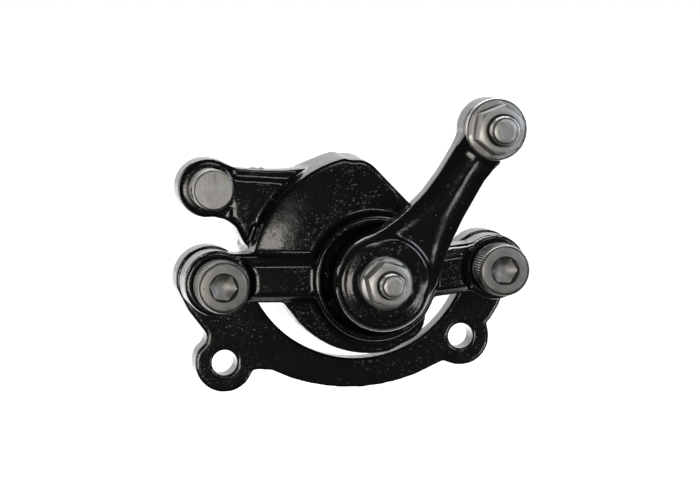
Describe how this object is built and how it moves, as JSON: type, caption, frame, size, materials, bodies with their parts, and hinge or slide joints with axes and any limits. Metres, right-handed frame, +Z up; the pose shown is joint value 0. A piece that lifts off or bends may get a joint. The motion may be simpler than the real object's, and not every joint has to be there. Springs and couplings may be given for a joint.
{
  "type": "brake caliper",
  "caption": "Cable-operated floating disc brake caliper with a cast mounting bracket, swinging cable lever, ball ramp and round pads.",
  "frame": {"origin": "middle of the mounting bracket's web on the bracket's flat back face", "axes": "+X along the line of the two guide screws, towards the lever's end; +Y backwards through the brake disc, along the screws' axes, so the lever faces -Y; +Z up, from the bracket's lugs towards the cable stop"},
  "size_m": [0.0872, 0.0673, 0.0722],
  "materials": {
    "black_paint": "gloss black paint over rough castings",
    "satin_steel": "satin grey zinc plate",
    "zinc": "bright zinc plate",
    "bright_steel": "ground bright steel",
    "friction": "matt pressed friction lining",
    "rubber": "matt black rubber"
  },
  "bodies": {
    "bracket": {"mounting_bracket": "black_paint", "guide_sleeve_left": "bright_steel", "guide_sleeve_right": "bright_steel", "guide_washer_left": "satin_steel", "guide_washer_right": "satin_steel", "guide_screw_left": "satin_steel", "guide_screw_right": "satin_steel"},
    "caliper": {"front_housing": "black_paint", "rear_housing": "black_paint", "body_screw_upper": "zinc", "body_screw_lower": "zinc", "fixed_pad_plate": "satin_steel", "fixed_pad_lining": "friction", "adjuster_screw": "zinc", "adjuster_locknut": "zinc", "thrust_washer": "bright_steel", "shaft_seal": "rubber", "piston_key": "bright_steel", "piston_seal": "rubber"},
    "lever": {"lever_arm": "black_paint", "cam_shaft": "zinc", "pivot_nut": "zinc", "clamp_nut": "zinc", "clamp_washer": "zinc", "clamp_bolt": "zinc", "return_spring": "bright_steel"},
    "ball_ring": {"ball_cage": "zinc", "ramp_ball_1": "bright_steel", "ramp_ball_2": "bright_steel", "ramp_ball_3": "bright_steel"},
    "piston": {"pusher_piston": "zinc", "moving_pad_plate": "satin_steel", "moving_pad_lining": "friction"},
    "cable_stop": {"cable_stop_pin": "satin_steel", "stop_pin_clip": "bright_steel"}
  },
  "joints": [
    {"name": "caliper_float", "type": "slide", "parent": "bracket", "child": "caliper", "axis": [0, 1, 0], "range_m": [-0.0005, 0.0005]},
    {"name": "lever_turn", "type": "hinge", "parent": "caliper", "child": "lever", "pos_m": [0.004, -0.03, 0.0252], "axis": [0, -1, 0], "range_deg": [0, 40], "stiffness_Nm_per_rad": 0.4, "springref_deg": -20.05, "deforming": ["return_spring"]},
    {"name": "ball_roll", "type": "hinge", "parent": "caliper", "child": "ball_ring", "pos_m": [0.004, -0.0103, 0.0252], "axis": [0, -1, 0], "range_deg": [0, 20]},
    {"name": "pad_advance", "type": "slide", "parent": "caliper", "child": "piston", "axis": [0, 1, 0], "range_m": [0, 0.002]},
    {"name": "stop_swivel", "type": "hinge", "parent": "caliper", "child": "cable_stop", "pos_m": [-0.0352, -0.013, 0.0492], "axis": [0, -1, 0], "range_deg": [-25, 25]}
  ],
  "couplings": [
    {"joint": "ball_roll", "follows": "lever_turn", "ratio": 0.5},
    {"joint": "pad_advance", "follows": "lever_turn", "m_per_rad": 0.00286}
  ]
}
